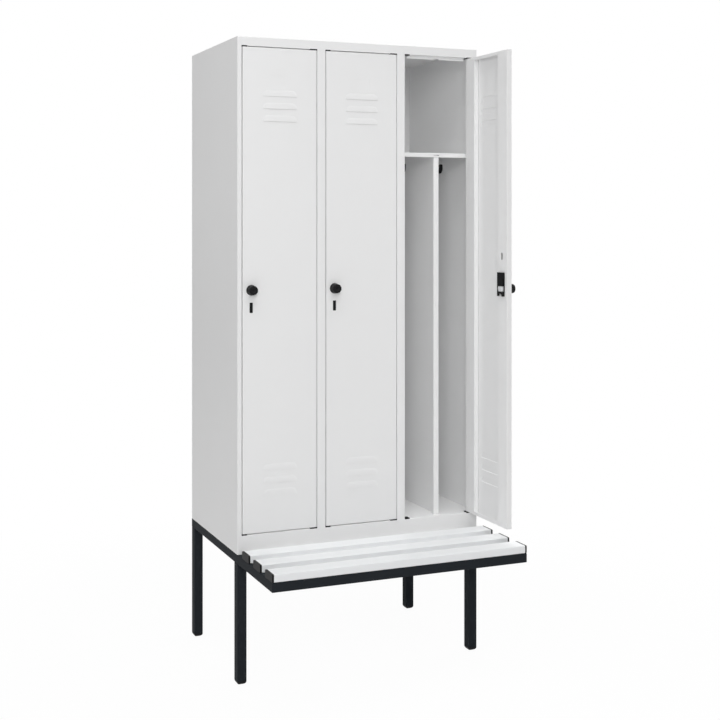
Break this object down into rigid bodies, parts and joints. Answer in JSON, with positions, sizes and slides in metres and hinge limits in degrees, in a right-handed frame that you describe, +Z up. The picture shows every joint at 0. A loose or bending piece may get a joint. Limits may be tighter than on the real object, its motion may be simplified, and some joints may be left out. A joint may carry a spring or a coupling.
{
  "type": "locker with bench",
  "caption": "Steel changing-room locker with hinged louvred doors, hat shelves and coat hooks, on a square-tube base with a slatted bench in front.",
  "frame": {"origin": "on the floor, under the middle of the cabinet's width and of the whole depth from the bench's front to the cabinet's back", "axes": "+Z up, -Y towards the front with the bench and the doors, +X to the right of someone who faces the doors"},
  "size_m": [0.908, 0.8124, 2.1283],
  "materials": {
    "light_grey_powder": "light grey powder coat, fine and semi-matt",
    "black_powder": "black powder coat, semi-matt",
    "black_plastic": "moulded black plastic",
    "light_plastic": "extruded light grey plastic",
    "zinc": "bright zinc plate"
  },
  "bodies": {
    "cabinet": {"side_left": "light_grey_powder", "side_right": "light_grey_powder", "roof": "light_grey_powder", "floor_pan": "light_grey_powder", "back_panel": "light_grey_powder", "divider_1": "light_grey_powder", "divider_2": "light_grey_powder", "middle_stile_1": "light_grey_powder", "middle_stile_2": "light_grey_powder", "hat_shelf_1": "light_grey_powder", "hat_shelf_2": "light_grey_powder", "hat_shelf_3": "light_grey_powder", "partition_1": "light_grey_powder", "partition_2": "light_grey_powder", "partition_3": "light_grey_powder", "coat_hook_1": "black_plastic", "coat_hook_2": "black_plastic", "coat_hook_3": "black_plastic", "coat_hook_4": "black_plastic", "coat_hook_5": "black_plastic", "coat_hook_6": "black_plastic", "left_rail": "black_powder", "right_rail": "black_powder", "front_rail": "black_powder", "rear_rail": "black_powder", "cross_rail": "black_powder", "leg_1": "black_powder", "leg_2": "black_powder", "leg_3": "black_powder", "leg_4": "black_powder", "foot_cap_1": "black_plastic", "foot_cap_2": "black_plastic", "foot_cap_3": "black_plastic", "foot_cap_4": "black_plastic", "slat_1": "light_plastic", "slat_2": "light_plastic", "slat_3": "light_plastic", "slat_cap_left_1": "black_plastic", "slat_cap_left_2": "black_plastic", "slat_cap_left_3": "black_plastic", "slat_cap_right_1": "black_plastic", "slat_cap_right_2": "black_plastic", "slat_cap_right_3": "black_plastic"},
    "door_1": {"door_1": "light_grey_powder", "lock_housing_1": "black_plastic", "staple_guide_1": "black_plastic"},
    "door_2": {"door_2": "light_grey_powder", "lock_housing_2": "black_plastic", "staple_guide_2": "black_plastic"},
    "door_3": {"door_3": "light_grey_powder", "lock_housing_3": "black_plastic", "staple_guide_3": "black_plastic"},
    "knob_1": {"knob_1": "black_plastic", "lock_cam_1": "zinc"},
    "knob_2": {"knob_2": "black_plastic", "lock_cam_2": "zinc"},
    "knob_3": {"knob_3": "black_plastic", "lock_cam_3": "zinc"}
  },
  "joints": [
    {"name": "door_1_hinge", "type": "hinge", "parent": "cabinet", "child": "door_1", "pos_m": [-0.1745, -0.08725, 0.4938], "axis": [0, 0, 1], "range_deg": [0, 105]},
    {"name": "door_2_hinge", "type": "hinge", "parent": "cabinet", "child": "door_2", "pos_m": [0.1255, -0.08725, 0.4938], "axis": [0, 0, 1], "range_deg": [0, 105]},
    {"name": "door_3_hinge", "type": "hinge", "parent": "cabinet", "child": "door_3", "pos_m": [0.4255, -0.08725, 0.4938], "axis": [0, 0, 1], "range_deg": [-90, 15]},
    {"name": "knob_1_turn", "type": "hinge", "parent": "door_1", "child": "knob_1", "pos_m": [-0.402, -0.09375, 1.29455], "axis": [0, -1, 0], "range_deg": [0, 90]},
    {"name": "knob_2_turn", "type": "hinge", "parent": "door_2", "child": "knob_2", "pos_m": [-0.102, -0.09375, 1.29455], "axis": [0, -1, 0], "range_deg": [0, 90]},
    {"name": "knob_3_turn", "type": "hinge", "parent": "door_3", "child": "knob_3", "pos_m": [0.432, -0.31475, 1.29455], "axis": [1, 0, 0], "range_deg": [0, 90]}
  ]
}
